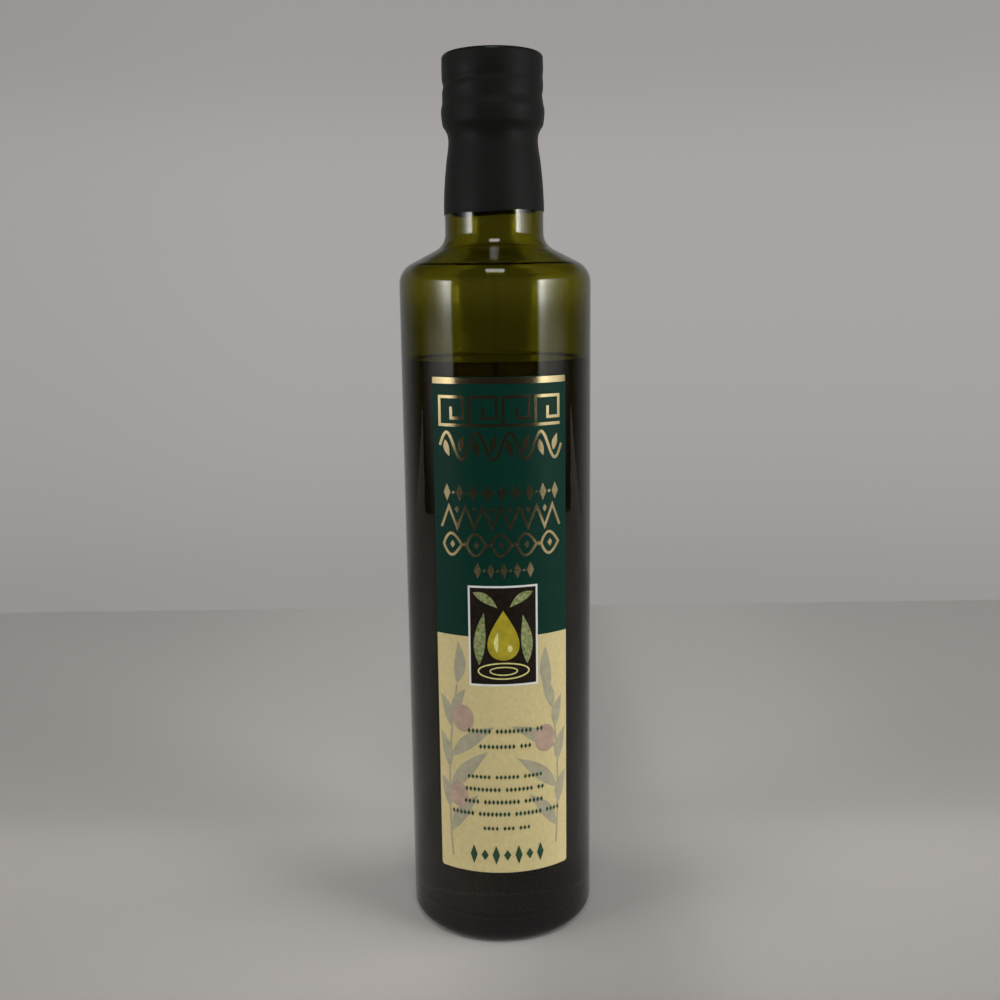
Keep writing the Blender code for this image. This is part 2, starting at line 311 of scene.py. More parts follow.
def smooth_outline(knots, height):
    """Return the radius at a height, on a smooth curve through the knots with no overshoot."""
    heights = [knot[0] for knot in knots]
    radii = [knot[1] for knot in knots]
    if height <= heights[0]:
        return radii[0]
    if height >= heights[-1]:
        return radii[-1]
    spans = [b - a for a, b in zip(heights, heights[1:])]
    slopes = [(b - a) / span for a, b, span in zip(radii, radii[1:], spans)]
    tangents = [0.0]
    for before, after in zip(slopes, slopes[1:]):
        same_way = before * after > 0.0
        tangents.append(2.0 * before * after / (before + after) if same_way else 0.0)
    tangents.append(0.0)
    low = max(index for index, start in enumerate(heights[:-1]) if start <= height)
    span = spans[low]
    t = (height - heights[low]) / span
    rise = t * t * (3.0 - 2.0 * t)
    start_pull = t * (1.0 - t) ** 2 * span
    end_pull = -t * t * (1.0 - t) * span
    blend = radii[low] + (radii[low + 1] - radii[low]) * rise
    return blend + tangents[low] * start_pull + tangents[low + 1] * end_pull


def filled_in(points, spacing):
    """Return the points with more between them, so that no straight run is longer than the spacing."""
    filled = [points[0]]
    for start, end in zip(points, points[1:]):
        parts = max(1, math.ceil(math.dist(start, end) / spacing))
        for part in range(1, parts + 1):
            share = part / parts
            filled.append((start[0] + (end[0] - start[0]) * share, start[1] + (end[1] - start[1]) * share))
    return filled


def turned_mesh(name, profile, segments):
    """Turn a profile of (radius, height) points, from axis to axis, into a closed round body."""
    shape = bmesh.new()
    corners = [shape.verts.new((0.0, -radius, height)) for radius, height in profile]
    edges = [shape.edges.new(pair) for pair in zip(corners, corners[1:])]
    bmesh.ops.spin(
        shape,
        geom=corners + edges,
        cent=(0.0, 0.0, 0.0),
        axis=(0.0, 0.0, 1.0),
        angle=math.tau,
        steps=segments,
        use_merge=True,
    )
    bmesh.ops.remove_doubles(shape, verts=shape.verts[:], dist=WELD_DISTANCE)
    bmesh.ops.recalc_face_normals(shape, faces=shape.faces[:])
    mesh = bpy.data.meshes.new(name)
    shape.to_mesh(mesh)
    shape.free()
    return mesh


def polar(point):
    """Return a point's azimuth and distance from the axis."""
    return math.atan2(point.x, -point.y), math.hypot(point.x, point.y)


def add_piece(name, mesh, materials, nodes=()):
    """Put a finished mesh in the scene as a piece of the bottle."""
    for material in materials:
        mesh.materials.append(material)
    mesh.shade_smooth()
    mesh.set_sharp_from_angle(angle=SHARP_EDGE)
    piece = bpy.data.objects.new(name, mesh)
    bpy.context.scene.collection.objects.link(piece)
    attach(piece, "root")
    if nodes:
        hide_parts(*nodes)
    return piece


def add_node(tree, kind, values=None, links=None, **settings):
    """Add a node with its settings, input values and links, each from an output or a node's first one."""
    node = tree.nodes.new("ShaderNode" + kind)
    for key, value in settings.items():
        setattr(node, key, value)
    for key, value in (values or {}).items():
        node.inputs[key].default_value = value
    for key, source in (links or {}).items():
        first = source.outputs[0] if isinstance(source, bpy.types.Node) else source
        tree.links.new(first, node.inputs[key])
    return node


def new_material(name):
    """Return an empty node material, its node tree and the coordinates on the object."""
    material = bpy.data.materials.new(name)
    material.use_nodes = True
    tree = material.node_tree
    tree.nodes.clear()
    return material, tree, add_node(tree, "TexCoord").outputs["Object"]


def drawn_curve(tree, value, points):
    """Return the output of a curve through the points, each a value and the height of the curve there."""
    low, high = points[0][0], points[-1][0]
    share = add_node(tree, "MapRange", {"From Min": low, "From Max": high}, {"Value": value})
    node = add_node(tree, "FloatCurve", None, {"Value": share})
    curve = node.mapping.curves[0]
    for place, height in points[1:-1]:
        curve.points.new((place - low) / (high - low), height)
    curve.points[0].location = (0.0, points[0][1])
    curve.points[-1].location = (1.0, points[-1][1])
    for point in curve.points:
        point.handle_type = "AUTO_CLAMPED"
    node.mapping.update()
    return node.outputs["Value"]


def opaque(rgb):
    """Return a colour with full alpha."""
    return (*rgb, 1.0)


def container_glass(settings):
    """Soda-lime container glass, blown in a mould.

    A hard clear gloss with slow waves in it, over a dark olive body colour that deepens with thickness.
    """
    material, tree, spot = new_material("green container glass")
    stretch = add_node(tree, "Mapping", {"Scale": (1.0, 1.0, 0.35)}, {"Vector": spot})
    waves = add_node(
        tree, "TexNoise", {"Scale": 1.0 / (14.0 * MM), "Detail": 1.5, "Roughness": 0.4}, {"Vector": stretch}
    )
    bump = add_node(tree, "Bump", {"Strength": 0.35, "Distance": 0.05 * MM}, {"Height": waves})
    surface = add_node(
        tree,
        "BsdfPrincipled",
        {"Base Color": (1.0, 1.0, 1.0, 1.0), "Roughness": 0.02, "IOR": 1.46, "Transmission Weight": 1.0},
        {"Normal": bump},
    )
    body = add_node(
        tree, "VolumeAbsorption", {"Color": opaque(settings.glass_tint), "Density": settings.glass_density}
    )
    add_node(tree, "OutputMaterial", None, {"Surface": surface, "Volume": body})
    return material


def olive_oil(settings):
    """Clear pressed olive oil: golden green in a thin layer and nearly black behind dark glass."""
    material, tree, spot = new_material("olive oil")
    swell = add_node(tree, "TexNoise", {"Scale": 1.0 / (20.0 * MM), "Detail": 0.0}, {"Vector": spot})
    bump = add_node(tree, "Bump", {"Strength": 0.1, "Distance": 0.02 * MM}, {"Height": swell})
    surface = add_node(
        tree,
        "BsdfPrincipled",
        {"Base Color": (1.0, 1.0, 1.0, 1.0), "Roughness": 0.0, "IOR": 1.47, "Transmission Weight": 1.0},
        {"Normal": bump},
    )
    body = add_node(
        tree, "VolumeAbsorption", {"Color": opaque(settings.oil_tint), "Density": settings.oil_density}
    )
    add_node(tree, "OutputMaterial", None, {"Surface": surface, "Volume": body})
    return material


def shrink_film(settings):
    """Black PVC shrink film: satin, with a fine orange peel and duller patches where it shrank most."""
    material, tree, spot = new_material("black shrink film")
    peel = add_node(
        tree, "TexNoise", {"Scale": 1.0 / (0.9 * MM), "Detail": 3.0, "Roughness": 0.6}, {"Vector": spot}
    )
    patches = add_node(tree, "TexNoise", {"Scale": 1.0 / (9.0 * MM), "Detail": 2.0}, {"Vector": spot})
    gloss = add_node(
        tree,
        "MapRange",
        {"From Min": 0.3, "From Max": 0.7, "To Min": 0.44, "To Max": 0.58},
        {"Value": patches},
    )
    axes = add_node(tree, "SeparateXYZ", None, {"Vector": spot})
    rim = add_node(
        tree,
        "MapRange",
        {"From Min": settings.top - 1.3 * MM, "From Max": settings.top - 0.7 * MM},
        {"Value": axes.outputs["Z"]},
    )
    stretched = add_node(tree, "Mix", {3: 0.2}, {0: rim, 2: gloss})
    tone = add_node(
        tree,
        "MixRGB",
        {"Color1": opaque(settings.film), "Color2": opaque([c * 1.5 for c in settings.film])},
        {"Fac": patches},
    )
    bump = add_node(tree, "Bump", {"Strength": 0.25, "Distance": 0.03 * MM}, {"Height": peel})
    surface = add_node(
        tree,
        "BsdfPrincipled",
        {"IOR": 1.53, "Specular IOR Level": 0.12},
        {"Base Color": tone, "Roughness": stretched, "Normal": bump},
    )
    add_node(tree, "OutputMaterial", None, {"Surface": surface})
    return material


def printed_paper(name, rgb, roughness=0.38, mottle=0.06, light=None, patch=1.4):
    """Ink on coated paper: a smooth semi gloss with faint mottle from the press and the paper's grain."""
    material, tree, spot = new_material(name)
    grain = add_node(tree, "TexNoise", {"Scale": 1.0 / (0.35 * MM), "Detail": 2.0}, {"Vector": spot})
    press = add_node(
        tree, "TexNoise", {"Scale": 1.0 / (patch * MM), "Detail": 3.0, "Roughness": 0.6}, {"Vector": spot}
    )
    pale = light or [c * (1.0 + 2.0 * mottle) for c in rgb]
    dark = rgb if light else [c * (1.0 - 2.0 * mottle) for c in rgb]
    spread = add_node(tree, "MapRange", {"From Min": 0.3, "From Max": 0.7}, {"Value": press})
    tone = add_node(tree, "MixRGB", {"Color1": opaque(dark), "Color2": opaque(pale)}, {"Fac": spread})
    bump = add_node(tree, "Bump", {"Strength": 0.12, "Distance": 0.01 * MM}, {"Height": grain})
    surface = add_node(
        tree,
        "BsdfPrincipled",
        {"Roughness": roughness, "IOR": 1.5, "Specular IOR Level": 0.14},
        {"Base Color": tone, "Normal": bump},
    )
    add_node(tree, "OutputMaterial", None, {"Surface": surface})
    return material


def gold_foil(settings):
    """Hot stamped foil: a soft mirror, bright where the room is bright and brown where it is dark."""
    material, tree, spot = new_material("gold foil")
    wrinkle = add_node(tree, "TexNoise", {"Scale": 1.0 / (0.6 * MM), "Detail": 2.0}, {"Vector": spot})
    rough = add_node(
        tree,
        "MapRange",
        {"From Min": 0.3, "From Max": 0.7, "To Min": 0.13, "To Max": 0.19},
        {"Value": wrinkle},
    )
    bump = add_node(tree, "Bump", {"Strength": 0.15, "Distance": 0.01 * MM}, {"Height": wrinkle})
    surface = add_node(
        tree,
        "BsdfPrincipled",
        {"Base Color": opaque(settings.gold), "Metallic": 1.0},
        {"Roughness": rough, "Normal": bump},
    )
    add_node(tree, "OutputMaterial", None, {"Surface": surface})
    return material


def shoulder_outline(glass, offset, fillet_radius, neck_radius):
    """Return the points from the body's wall over the shoulder to the neck, moved inwards by the offset."""
    centre = (glass.body_radius - glass.shoulder_radius, glass.shoulder_height)
    across = math.pi / 2.0 - glass.shoulder_slope
    points = arc(centre, glass.shoulder_radius - offset, 0.0, across)
    slope_radius, slope_height = points[-1]
    fillet_centre_radius = neck_radius + fillet_radius
    foot_radius = fillet_centre_radius - fillet_radius * math.cos(across)
    foot_height = slope_height + (slope_radius - foot_radius) * math.tan(glass.shoulder_slope)
    fillet_centre = (fillet_centre_radius, foot_height + fillet_radius * math.sin(across))
    return points + arc(fillet_centre, fillet_radius, math.pi + across, math.pi)


def floor_outline(glass, reach):
    """Return the inside floor from the axis to the foot of the wall, moved into the glass by the reach."""
    wall_radius = glass.body_radius - glass.body_wall
    corner = glass.floor_corner
    centre = (wall_radius - corner, glass.floor_height + corner)
    points = [(0.0, glass.floor_height + glass.floor_rise - reach)]
    return points + arc(centre, corner + reach, -math.pi / 2.0, 0.0)


def glass_profile(glass, film_thickness):
    """Return the glass's profile, up the outside and down the inside."""
    foot_radius = glass.body_radius - glass.heel_radius - glass.bearing_width
    outside = [(0.0, glass.push_up), (foot_radius * 0.6, glass.push_up * 0.8), (foot_radius, 0.0)]
    heel = (glass.body_radius - glass.heel_radius, glass.heel_radius)
    outside += arc(heel, glass.heel_radius, -math.pi / 2.0, 0.0)
    outside += shoulder_outline(glass, 0.0, glass.neck_fillet, glass.neck_radius)
    under_film = film_thickness + FILM_GAP
    heights = [knot[0] for knot in SLEEVE_OUTLINE if knot[0] <= WAIST_HEIGHT]
    hugged = [min(glass.neck_radius, smooth_outline(SLEEVE_OUTLINE, h) - under_film) for h in heights]
    outside += list(zip(hugged, heights))
    outside.append((hugged[-1], glass.mouth_height))
    inside = [(glass.bore_radius, glass.mouth_height), (glass.bore_radius, WAIST_HEIGHT)]
    inner_neck = glass.neck_radius - glass.neck_wall
    inside.append((inner_neck, glass.bore_taper))
    inner_fillet = glass.neck_fillet + glass.neck_wall
    inside += reversed(shoulder_outline(glass, glass.shoulder_wall, inner_fillet, inner_neck))
    thin_start = glass.shoulder_height - glass.thinning
    thinning = ((thin_start, glass.body_radius - glass.body_wall), (glass.shoulder_height, inside[-1][0]))
    heights = [glass.shoulder_height - glass.thinning * step / ARC_STEPS for step in range(1, ARC_STEPS + 1)]
    inside += [(smooth_outline(thinning, height), height) for height in heights]
    inside += reversed(floor_outline(glass, 0.0))
    return outside, filled_in(inside, WALL_RING)


def wall_ripple(azimuth, height):
    """Return how uneven the blown wall is at a point, from -1 to 1, in long upright streaks."""
    point = Vector((math.sin(azimuth) * 4.0, math.cos(azimuth) * 4.0, height / (60.0 * MM)))
    return noise.noise(point)


class BOTTLE_OT_glass(bpy.types.Operator):
    """Make the hollow glass, smooth outside and a little uneven inside"""

    bl_idname = "olive_bottle.glass"
    bl_label = "Glass"

    def execute(self, context):
        glass = context.scene.bottle_glass
        outside, inside = glass_profile(glass, context.scene.bottle_sleeve.thickness)
        mesh = turned_mesh("glass", outside + inside, ROUND_SEGMENTS)
        wall_radius = glass.body_radius - glass.body_wall
        for corner in mesh.vertices:
            azimuth, radius = polar(corner.co)
            above_floor = corner.co.z - glass.floor_height - glass.floor_corner
            if abs(radius - wall_radius) < WELD_DISTANCE and above_floor > 0.0:
                grow = 1.0 + glass.wall_unevenness * wall_ripple(azimuth, corner.co.z) / radius
                corner.co.x *= grow
                corner.co.y *= grow
        add_piece("glass", mesh, [container_glass(glass)], ["bottle"])
        return {"FINISHED"}


class BOTTLE_OT_oil(bpy.types.Operator):
    """Fill the bottle with oil that reaches just into the glass"""

    bl_idname = "olive_bottle.oil"
    bl_label = "Oil"

    def execute(self, context):
        glass = context.scene.bottle_glass
        reach = glass.oil_overlap
        wall_radius = glass.body_radius - glass.body_wall
        profile = floor_outline(glass, reach)
        climb = 2.5 * glass.meniscus
        edge = arc((wall_radius - climb, glass.oil_level + climb), climb, -0.25 * math.pi, -math.pi / 2.0, 6)
        rise = glass.meniscus / (edge[0][1] - edge[-1][1])
        lifted = [(r, glass.oil_level + (h - glass.oil_level) * rise) for r, h in edge]
        profile.append((wall_radius + reach, lifted[0][1]))
        profile = filled_in(profile, WALL_RING) + lifted + [(0.0, glass.oil_level)]
        mesh = turned_mesh("oil_fill", profile, ROUND_SEGMENTS)
        add_piece("oil_fill", mesh, [olive_oil(glass)], ["oil"])
        return {"FINISHED"}


def thread_groove(sleeve, azimuth, height):
    """Return how deep the thread presses in the sleeve at a point, over all its turns."""
    depth = 0.0
    turn = math.ceil((THREAD_END - azimuth) / math.tau)
    while azimuth + turn * math.tau <= THREAD_START:
        along = azimuth + turn * math.tau
        centre = THREAD_HEIGHT_AT_FRONT + sleeve.thread_pitch * along / math.tau
        share = (THREAD_START - along) / (THREAD_START - THREAD_END)
        strength = math.sin(math.pi * share) ** THREAD_RUN_OUT if 0.0 < share < 1.0 else 0.0
        away = (height - centre) / THREAD_HALF_WIDTH
        depth = max(depth, sleeve.thread_depth * strength * math.exp(-away * away))
        turn += 1
    return depth


def film_creases(azimuth, height):
    """Return the film's small dents and creases at a point, from 0 to 1."""
    place = Vector((math.sin(azimuth) * 2.2, math.cos(azimuth) * 2.2, height / (8.0 * MM)))
    dents = 0.5 + 0.5 * noise.noise(place)
    fine = Vector((math.sin(azimuth) * 7.0, math.cos(azimuth) * 7.0, height / (14.0 * MM)))
    folds = 1.0 - abs(noise.noise(fine))
    return min(1.0, 0.6 * dents + 0.4 * folds ** 4)


class BOTTLE_OT_sleeve(bpy.types.Operator):
    """Shrink the black sleeve over the shut closure and the neck"""

    bl_idname = "olive_bottle.sleeve"
    bl_label = "Sleeve"

    def execute(self, context):
        sleeve = context.scene.bottle_sleeve
        rim_height = sleeve.top - SLEEVE_TOP_EDGE
        rim_radius = SLEEVE_OUTLINE[-1][1]
        dipped = sleeve.top - SLEEVE_TOP_DIP
        profile = [(0.0, dipped), (rim_radius * 0.80, dipped)]
        profile += [(rim_radius * 0.82, sleeve.top - SLEEVE_TOP_STEP), (rim_radius * 0.86, sleeve.top)]
        profile += arc((rim_radius - SLEEVE_TOP_EDGE, rim_height), SLEEVE_TOP_EDGE, math.pi / 2.0, 0.0, 8)
        drop = rim_height - sleeve.foot
        rings = round(drop / SLEEVE_RING)
        heights = [rim_height - drop * ring / rings for ring in range(1, rings + 1)]
        profile += [(smooth_outline(SLEEVE_OUTLINE, height), height) for height in heights]
        bore = [height for height in reversed(heights) if height <= WAIST_HEIGHT]
        profile += [(smooth_outline(SLEEVE_OUTLINE, height) - sleeve.thickness, height) for height in bore]
        bore_top = context.scene.bottle_glass.mouth_height + FILM_GAP
        profile += [(profile[-1][0], bore_top), (0.0, bore_top)]
        mesh = turned_mesh("sleeve", profile, SLEEVE_SEGMENTS)
        for corner in mesh.vertices:
            azimuth, radius = polar(corner.co)
            height = corner.co.z
            outer = radius > smooth_outline(SLEEVE_OUTLINE, height) - 0.5 * sleeve.thickness
            if outer and height < rim_height:
                dip = sleeve.crease_depth * film_creases(azimuth, height)
                if height > BEAD_HEIGHT:
                    dip += thread_groove(sleeve, azimuth, height)
                corner.co.x *= 1.0 - dip / radius
                corner.co.y *= 1.0 - dip / radius
            if abs(height - sleeve.foot) < WELD_DISTANCE:
                ripple = sleeve.foot_ripple * math.sin(sleeve.foot_waves * azimuth + sleeve.foot_phase)
                corner.co.z = sleeve.foot + sleeve.foot_tilt * math.sin(azimuth) + ripple
        add_piece("sleeve", mesh, [shrink_film(sleeve)], ["capsule"])
        return {"FINISHED"}


def ribbon(path, width, closed=False):
    """Return the outlines of a mitred line along a path, one for each of its straight parts."""
    points = [Vector(point) for point in path]
    count = len(points)
    sides = []
    for index, point in enumerate(points):
        before = points[index - 1] if closed or index > 0 else None
        after = points[(index + 1) % count] if closed or index < count - 1 else None
        ways = [(b - a).normalized() for a, b in ((before, point), (point, after)) if a and b]
        across = sum((Vector((-way.y, way.x)) for way in ways), Vector((0.0, 0.0))).normalized()
        mitre = across.dot(Vector((-ways[0].y, ways[0].x)))
        offset = across * (width / 2.0 / max(mitre, 0.4))
        sides.append((point + offset, point - offset))
    pairs = list(zip(sides, sides[1:]))
    if closed:
        pairs.append((sides[-1], sides[0]))
    return [(start[1], end[1], end[0], start[0]) for start, end in pairs]


def lens(base, tip, width, bend=0.0, steps=12):
    """Return the outline of a lance-shaped leaf, its middle moved sideways by the bend."""
    base = Vector(base)
    along = Vector(tip) - base
    across = Vector((-along.y, along.x)).normalized()
    sides = {1: [], -1: []}
    for step in range(steps + 1):
        t = step / steps
        middle = base + along * t + across * (bend * 4.0 * t * (1.0 - t))
        half = 0.5 * width * math.sin(math.pi * t ** 0.85)
        for side, points in sides.items():
            points.append(middle + across * half * side)
    return sides[-1] + sides[1][-2:0:-1]


def ellipse(centre, across, up, steps=32):
    """Return the outline of an ellipse of two half sizes."""
    turn = [math.tau * step / steps for step in range(steps)]
    return [(centre[0] + across * math.cos(a), centre[1] + up * math.sin(a)) for a in turn]


def lozenge(centre, across, up):
    """Return the outline of a lozenge of two half sizes."""
    return ellipse(centre, across, up, steps=4)


def box_outline(left, right, low, high):
    """Return the outline of an upright rectangle."""
    return [(left, low), (right, low), (right, high), (left, high)]


def bent_plate(name, outlines, layer, thickness, cut_height=None):
    """Return a closed plate of flat outlines in millimetres, bent round the bottle."""
    inner_radius = WRAP_RADIUS + layer
    shape = bmesh.new()
    for outline in outlines:
        shape.faces.new([shape.verts.new((point[0] * MM, 0.0, point[1] * MM)) for point in outline])
    bmesh.ops.remove_doubles(shape, verts=shape.verts[:], dist=WELD_DISTANCE)
    wide = [face for face in shape.faces if len(face.verts) > 4]
    bmesh.ops.triangulate(shape, faces=wide)
    low = min(corner.co.x for corner in shape.verts)
    high = max(corner.co.x for corner in shape.verts)
    strips = math.ceil((high - low) / (PRINT_STRIP * MM))
    cuts = [low + (high - low) * strip / strips for strip in range(1, strips)]
    planes = [((cut, 0.0, 0.0), (1.0, 0.0, 0.0)) for cut in cuts]
    if cut_height:
        planes.append(((0.0, 0.0, cut_height), (0.0, 0.0, 1.0)))
    for place, way in planes:
        geometry = shape.verts[:] + shape.edges[:] + shape.faces[:]
        bmesh.ops.bisect_plane(shape, geom=geometry, plane_co=place, plane_no=way)
    for face in shape.faces:
        face.material_index = int(bool(cut_height) and face.calc_center_median().z < cut_height)
    raised = bmesh.ops.extrude_face_region(shape, geom=shape.faces[:])
    for corner in raised["geom"]:
        if isinstance(corner, bmesh.types.BMVert):
            corner.co.y = thickness
    for corner in shape.verts:
        azimuth = corner.co.x / WRAP_RADIUS
        reach = inner_radius + corner.co.y
        corner.co = (reach * math.sin(azimuth), -reach * math.cos(azimuth), corner.co.z)
    bmesh.ops.recalc_face_normals(shape, faces=shape.faces[:])
    mesh = bpy.data.meshes.new(name)
    shape.to_mesh(mesh)
    shape.free()
    return mesh


def add_print(name, outlines, layer, material):
    """Print flat outlines on the label, one or more ink layers up."""
    mesh = bent_plate(name, outlines, layer * INK_LAYER, INK_LAYER)
    return add_piece(name, mesh, [material])


def label_edges(label):
    """Return the label's left and right edges, as arc lengths in millimetres."""
    return label.left * WRAP_RADIUS / MM, label.right * WRAP_RADIUS / MM


class BOTTLE_OT_label(bpy.types.Operator):
    """Glue the paper label with its two printed fields on the glass"""

    bl_idname = "olive_bottle.label"
    bl_label = "Label paper"

    def execute(self, context):
        label = context.scene.bottle_label
        left, right = label_edges(label)
        corner = label.corner / MM
        low, high = label.foot / MM, label.top / MM
        outline = []
        for index, (x, z) in enumerate(((right, high), (left, high), (left, low), (right, low))):
            centre = (x - math.copysign(corner, x), z + (corner if z == low else -corner))
            start = index * math.pi / 2.0
            outline += arc(centre, corner, start, start + math.pi / 2.0, 5)
        mesh = bent_plate("label_paper", [outline], -PAPER_THICKNESS, PAPER_THICKNESS, label.field_change)
        green = printed_paper("green print on coated paper", label.green, 0.36)
        cream = printed_paper("cream print on coated paper", label.cream, 0.42, 0.03)
        add_piece("label_paper", mesh, [green, cream], ["label"])
        return {"FINISHED"}


def key_band(left, right, low, high, stroke, hooks=4):
    """Return a square key: a base line with square hooks that turn inwards."""
    across = (right - left - stroke) / (5 * hooks - 1)
    up = (high - low - stroke) / 4.0
    base = low + stroke / 2.0
    outlines = ribbon([(left, base), (right, base)], stroke)
    for hook in range(hooks):
        start = left + stroke / 2.0 + 5 * hook * across
        steps = ((0, 4), (4, 4), (4, 1), (2, 1), (2, 2.6))
        path = [(start, low + stroke + 0.01)] + [(start + x * across, base + z * up) for x, z in steps]
        outlines += ribbon(path, stroke)
    return outlines


def vine_band(left, right, low, high, stroke, waves=4):
    """Return a wavy stem with a leaf in each hollow."""
    middle = (low + high) / 2.0
    swing = (high - low - stroke) / 2.0
    pitch = (right - left) / waves
    steps = waves * 24
    path = [
        (left + (right - left) * s / steps, middle + swing * math.sin(math.tau * waves * s / steps))
        for s in range(steps + 1)
    ]
    outlines = ribbon(path, stroke)
    for wave in range(waves):
        for side in (1, -1):
            x = left + pitch * (wave + (0.75 if side > 0 else 0.25))
            foot = middle - side * swing * 0.45
            outlines.append(lens((x - 0.6, foot), (x + 0.9, foot + side * swing * 1.25), 2.0, 0.25 * side))
    return outlines


def zigzag_band(left, right, low, high, stroke, teeth=7):
    """Return a zigzag with a lozenge in each hollow."""
    top, foot = high - stroke / 2.0, low + stroke / 2.0
    pitch = (right - left) / teeth
    path = []
    for tooth in range(teeth):
        path += [(left + pitch * tooth, foot), (left + pitch * (tooth + 0.5), top)]
    path.append((right, foot))
    outlines = ribbon(path, stroke)
    for tooth in range(teeth - 1):
        outlines.append(lozenge((left + pitch * (tooth + 1), high - 1.3), 0.8, 1.2))
    return outlines


def eye_band(left, right, low, high, stroke, eyes=5):
    """Return pointed eyes in outline with lozenges in and between them."""
    middle = (low + high) / 2.0
    pitch = (right - left) / eyes
    outlines = []
    for eye in range(eyes):
        centre = left + pitch * (eye + 0.5)
        reach = pitch * 0.40
        outer = lens((centre - reach, middle), (centre + reach, middle), high - low - stroke, steps=10)
        outlines += ribbon(outer, stroke, closed=True)
        outlines.append(lozenge((centre, middle), 0.9, 1.3))
    for gap in range(1, eyes):
        outlines.append(lozenge((left + pitch * gap, middle), 0.45, 0.9))
    return outlines


def lozenge_band(left, right, low, high, count):
    """Return a row of lozenges and dots in turn."""
    middle = (low + high) / 2.0
    half = (high - low) / 2.0
    pitch = (right - left) / count
    outlines = []
    for index in range(count):
        x = left + pitch * (index + 0.5)
        outlines.append(lozenge((x, middle), pitch * 0.28, half))
        if index < count - 1:
            outlines.append(ellipse((x + pitch / 2.0, middle), 0.5, 0.5, 12))
    return outlines


class BOTTLE_OT_gold(bpy.types.Operator):
    """Stamp the gold foil: a strip under the top edge and six rows of traditional ornament"""

    bl_idname = "olive_bottle.gold"
    bl_label = "Gold foil"

    def execute(self, context):
        label = context.scene.bottle_label
        foil = gold_foil(label)
        left, right = label_edges(label)
        stroke = label.stroke / MM
        fine_stroke = 0.9 * stroke
        rows = (
            ("foil_strip", [box_outline(left + 0.15, right - 0.15, 186.9, 188.9)]),
            ("key_row", key_band(-19.4, 21.2, 173.7, 183.4, stroke)),
            ("vine_row", vine_band(-19.0, 21.8, 163.0, 172.4, stroke)),
            ("lozenge_row", lozenge_band(-18.9, 21.4, 150.2, 155.8, 9)),
            ("zigzag_row", zigzag_band(-18.9, 21.0, 141.4, 149.0, fine_stroke)),
            ("eye_row", eye_band(-19.0, 21.2, 132.6, 140.4, fine_stroke)),
            ("short_row", lozenge_band(-8.8, 12.3, 125.7, 130.9, 5)),
        )
        for name, outlines in rows:
            add_print(name, outlines, 0, foil)
        return {"FINISHED"}


def drop_outline(centre, width, height, steps=40):
    """Return the outline of a hanging drop."""
    points = []
    for step in range(steps):
        t = math.tau * step / steps
        half = 0.62 * width * math.sin(t) * abs(math.sin(t / 2.0)) ** 1.3
        points.append((centre[0] - half, centre[1] + 0.5 * height * math.cos(t)))
    return points


class BOTTLE_OT_picture(bpy.types.Operator):
    """Print the small framed picture of an oil drop over ripples and leaves"""

    bl_idname = "olive_bottle.picture"
    bl_label = "Picture"

    def execute(self, context):
        label = context.scene.bottle_label
        border = label.frame_border / MM
        left, right, low, high = -10.05, 12.55, 90.4, 123.4
        inset = border / 2.0
        edge = box_outline(left + inset, right - inset, low + inset, high - inset)
        add_print("picture_border", ribbon(edge, border, closed=True), 0,
                  printed_paper("white print on coated paper", label.white, 0.4, 0.02))
        ground = box_outline(left + border, right - border, low + border, high - border)
        add_print("picture_ground", [ground], 0,
                  printed_paper("dark print on coated paper", label.ground, 0.34, 0.2))
        leaves = [
            lens((-6.6, 97.4), (-4.9, 114.6), 3.8, 0.6),
            lens((8.9, 97.6), (7.5, 113.8), 3.8, -0.6),
            lens((-8.4, 121.2), (-0.6, 116.2), 2.8, 0.6),
            lens((10.9, 121.2), (3.4, 116.4), 2.8, -0.6),
        ]
        add_print("picture_leaves", leaves, 1,
                  printed_paper("leaf print on coated paper", label.leaf, 0.34,
                                light=label.leaf_light, patch=1.0))
        drop = [drop_outline((1.25, 107.2), 11.4, 16.5)]
        add_print("picture_drop", drop, 2,
                  printed_paper("drop print on coated paper", label.drop, 0.32, 0.12, patch=4.0))
        shine = [lens((-0.8, 101.6), (-0.4, 108.4), 1.5, 0.5), ellipse((3.3, 102.8), 0.8, 1.2, 16)]
        shine += ribbon(ellipse((1.25, 95.4), 8.2, 2.6, 40), 0.45, closed=True)
        shine += ribbon(ellipse((1.25, 95.4), 4.4, 1.3, 32), 0.4, closed=True)
        light = printed_paper("pale print on coated paper", label.drop_light, 0.32, 0.08)
        add_print("picture_shine", shine, 3, light)
        return {"FINISHED"}


def curved_stem(start, turn, end, steps=30):
    """Return points along a curve that leaves its start towards the turn and comes from there to its end."""
    points = []
    for step in range(steps + 1):
        t = step / steps
        points.append(Vector(start) * (1 - t) ** 2 + Vector(turn) * 2 * t * (1 - t) + Vector(end) * t * t)
    return points


